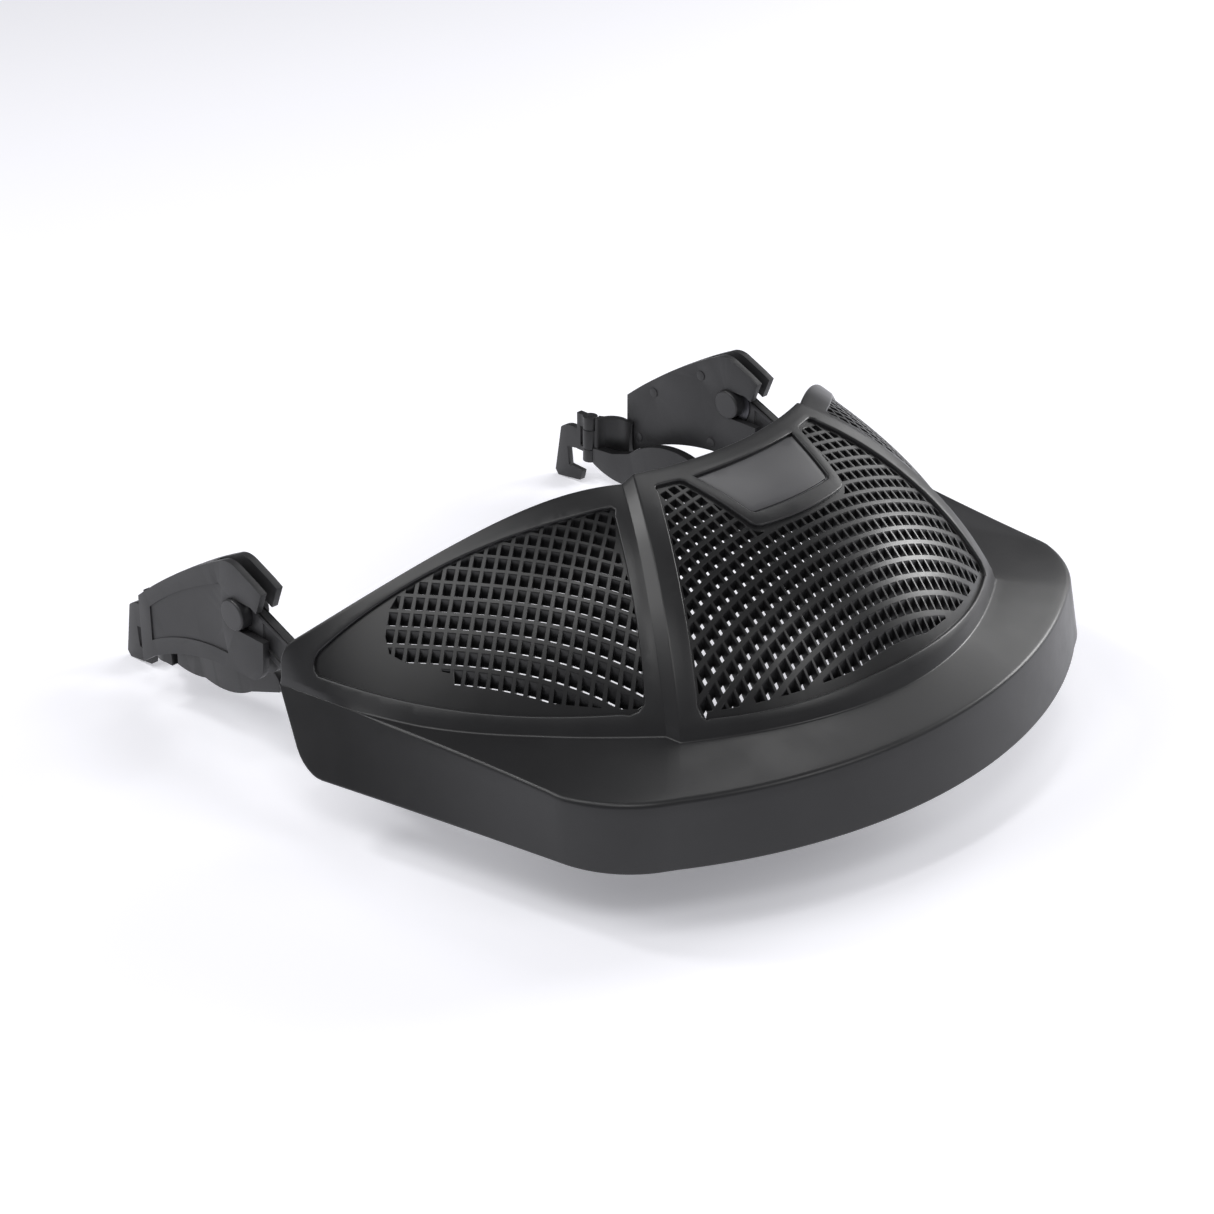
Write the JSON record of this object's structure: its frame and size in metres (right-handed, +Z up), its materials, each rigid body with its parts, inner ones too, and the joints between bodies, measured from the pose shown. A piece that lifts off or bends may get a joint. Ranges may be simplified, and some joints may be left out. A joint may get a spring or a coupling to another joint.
{
  "type": "helmet visor carrier",
  "caption": "Vented brow guard and visor carrier of a forestry helmet: domed grille crown, brim and deep skirt, hung from swivelling slot-clip brackets.",
  "frame": {"origin": "under the middle of the whole object, at the height of the clips' feet", "axes": "+X towards the wearer's left, -Y towards the front, +Z up"},
  "size_m": [0.267, 0.274, 0.1036],
  "materials": {
    "moulded_shell": "satin moulded nylon with a fine grain",
    "grille_plastic": "satin moulded nylon",
    "badge_plastic": "smooth grey plate",
    "bracket_plastic": "matte fine-grained nylon",
    "pin_plastic": "smooth turned acetal",
    "clip_plastic": "satin moulded nylon",
    "steel": "blackened spring steel"
  },
  "bodies": {
    "carrier": {"carrier_shell": "moulded_shell", "centre_grille": "grille_plastic", "badge_plate": "badge_plastic", "visor_studs": "moulded_shell", "side_grille_left": "grille_plastic", "link_arm_left": "bracket_plastic", "pivot_pin_left": "pin_plastic", "spring_washer_left": "steel", "arm_rivets_left": "steel", "side_grille_right": "grille_plastic", "link_arm_right": "bracket_plastic", "pivot_pin_right": "pin_plastic", "spring_washer_right": "steel", "arm_rivets_right": "steel"},
    "bracket_left": {"outer_cover_left": "bracket_plastic", "inner_plate_left": "bracket_plastic", "stake_posts_left": "bracket_plastic", "slot_tongue_left": "clip_plastic", "clip_pin_left": "steel"},
    "clip_left": {"spring_clip_left": "clip_plastic"},
    "bracket_right": {"outer_cover_right": "bracket_plastic", "inner_plate_right": "bracket_plastic", "stake_posts_right": "bracket_plastic", "slot_tongue_right": "clip_plastic", "clip_pin_right": "steel"},
    "clip_right": {"spring_clip_right": "clip_plastic"}
  },
  "joints": [
    {"name": "bracket_left_swivel", "type": "hinge", "parent": "carrier", "child": "bracket_left", "pos_m": [0.1122, 0.0573, 0.051], "axis": [1, 0, 0], "range_deg": [0, 95]},
    {"name": "bracket_right_swivel", "type": "hinge", "parent": "carrier", "child": "bracket_right", "pos_m": [-0.1122, 0.0573, 0.051], "axis": [1, 0, 0], "range_deg": [0, 95]},
    {"name": "clip_left_flex", "type": "hinge", "parent": "bracket_left", "child": "clip_left", "pos_m": [0.1005, 0.1195, 0.02], "axis": [0, 0, 1], "range_deg": [0, 8], "stiffness_Nm_per_rad": 0.4},
    {"name": "clip_right_flex", "type": "hinge", "parent": "bracket_right", "child": "clip_right", "pos_m": [-0.1005, 0.1195, 0.02], "axis": [0, 0, -1], "range_deg": [0, 8], "stiffness_Nm_per_rad": 0.4}
  ]
}
